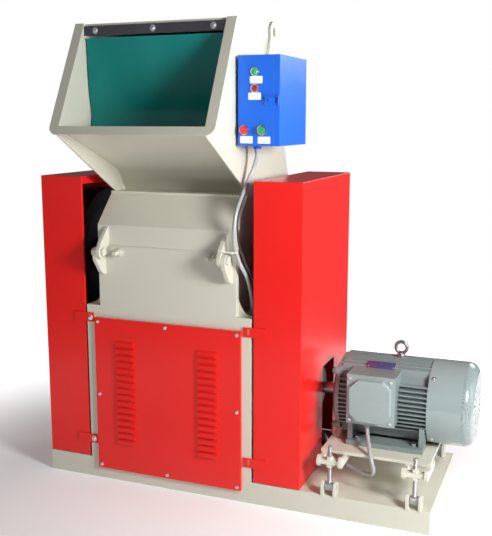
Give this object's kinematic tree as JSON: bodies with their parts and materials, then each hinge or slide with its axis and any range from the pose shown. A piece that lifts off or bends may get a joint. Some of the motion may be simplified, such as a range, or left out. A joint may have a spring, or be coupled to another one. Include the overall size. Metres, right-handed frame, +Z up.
{
  "type": "plastic granulator",
  "caption": "Belt-driven plastic granulator: tilting feed hopper over a knife rotor, screen and granule drawer, with belt guards and a foot-mounted motor.",
  "frame": {"origin": "the point on the floor under the middle of the rotor", "axes": "+Z up, -Y the feed side, +X towards the motor"},
  "size_m": [1.392, 0.7906, 1.504],
  "materials": {
    "cream_paint": "satin enamel, warm grey-cream",
    "red_paint": "semi-gloss enamel",
    "blue_paint": "semi-gloss powder coat",
    "motor_paint": "semi-gloss enamel over castings",
    "bright_steel": "zinc plated and machined",
    "dark_iron": "oiled and blackened",
    "curtain_rubber": "glossy teal sheet",
    "belt_rubber": "matt",
    "cable_sheath": "grey sheath",
    "green_button": "moulded",
    "red_button": "moulded",
    "lamp_lens": "moulded, tinted lenses"
  },
  "bodies": {
    "frame": {"base_frame": "cream_paint", "base_deck": "cream_paint", "cabinet_body": "cream_paint", "front_panel": "red_paint", "panel_screws": "bright_steel", "lower_chamber": "cream_paint", "lower_hinge_ears": "cream_paint", "hinge_bolts": "bright_steel", "clamp_studs": "bright_steel", "bed_knives": "bright_steel", "bed_knife_bolts": "dark_iron", "screen": "bright_steel", "screen_cradle": "dark_iron", "discharge_chute": "bright_steel", "bearing_housings": "dark_iron", "rotor_bearings": "bright_steel", "guard_left": "red_paint", "guard_right": "red_paint", "guard_straps": "red_paint", "guard_strap_bolts": "bright_steel", "drawer_runners": "dark_iron", "adjuster_brackets": "cream_paint", "adjuster_rods": "bright_steel", "drive_belts": "belt_rubber", "control_cable": "cable_sheath", "motor_cable": "cable_sheath"},
    "granule_drawer": {"drawer": "bright_steel", "drawer_handle": "dark_iron"},
    "motor_carriage": {"motor_plate": "cream_paint", "adjuster_nuts": "bright_steel", "motor_frame": "motor_paint", "motor_end_shield": "motor_paint", "fan_cowl": "motor_paint", "terminal_box": "motor_paint", "terminal_box_lid": "motor_paint", "motor_eyebolt": "bright_steel", "motor_bolts": "bright_steel"},
    "motor_rotor": {"motor_shaft": "bright_steel", "motor_fan": "dark_iron", "motor_pulley": "dark_iron"},
    "cutting_rotor": {"rotor_shaft": "bright_steel", "rotor_hub": "dark_iron", "rotor_knives": "bright_steel", "knife_bolts": "dark_iron", "flywheel": "dark_iron", "rotor_pulley": "dark_iron"},
    "hopper": {"upper_chamber": "cream_paint", "upper_hinge_ears": "cream_paint", "hopper_shell": "cream_paint", "lifting_lug": "cream_paint", "curtain_bar": "dark_iron", "curtain_bolts": "bright_steel", "control_box": "blue_paint", "indicator_lamps": "lamp_lens", "button_bezels": "bright_steel"},
    "curtain": {"curtain": "curtain_rubber"},
    "box_door": {"box_door": "blue_paint"},
    "box_latch": {"box_latch": "blue_paint"},
    "start_button": {"start_button": "green_button"},
    "stop_button": {"stop_button": "red_button"}
  },
  "joints": [
    {"name": "drawer_slide", "type": "slide", "parent": "frame", "child": "granule_drawer", "axis": [0, 1, 0], "range_m": [0, 0.42]},
    {"name": "motor_plate_lift", "type": "slide", "parent": "frame", "child": "motor_carriage", "axis": [0, 0, 1], "range_m": [0, 0.02], "deforming": ["drive_belts", "motor_cable"]},
    {"name": "rotor_spin", "type": "hinge", "parent": "frame", "child": "cutting_rotor", "pos_m": [0, 0, 0.745], "axis": [1, 0, 0], "continuous": true},
    {"name": "motor_spin", "type": "hinge", "parent": "motor_carriage", "child": "motor_rotor", "pos_m": [0.6, 0, 0.323], "axis": [1, 0, 0], "continuous": true},
    {"name": "hopper_tilt", "type": "hinge", "parent": "frame", "child": "hopper", "pos_m": [0, -0.305, 0.781], "axis": [1, 0, 0], "range_deg": [0, 85], "deforming": ["control_cable"]},
    {"name": "curtain_swing", "type": "hinge", "parent": "hopper", "child": "curtain", "pos_m": [0, -0.31, 1.4445], "axis": [1, 0, 0], "range_deg": [0, 70]},
    {"name": "box_door_swing", "type": "hinge", "parent": "hopper", "child": "box_door", "pos_m": [0.3655, -0.021, 1.25], "axis": [0, 0, 1], "range_deg": [0, 110]},
    {"name": "box_latch_swing", "type": "hinge", "parent": "hopper", "child": "box_latch", "pos_m": [0.3365, -0.274, 1.25], "axis": [0, 0, -1], "range_deg": [0, 100]},
    {"name": "start_button_press", "type": "slide", "parent": "hopper", "child": "start_button", "axis": [0, 1, 0], "range_m": [0, 0.004], "stiffness_N_per_m": 900},
    {"name": "stop_button_press", "type": "slide", "parent": "hopper", "child": "stop_button", "axis": [0, 1, 0], "range_m": [0, 0.004], "stiffness_N_per_m": 900}
  ],
  "couplings": [
    {"joint": "motor_spin", "follows": "rotor_spin", "ratio": 2.72}
  ]
}
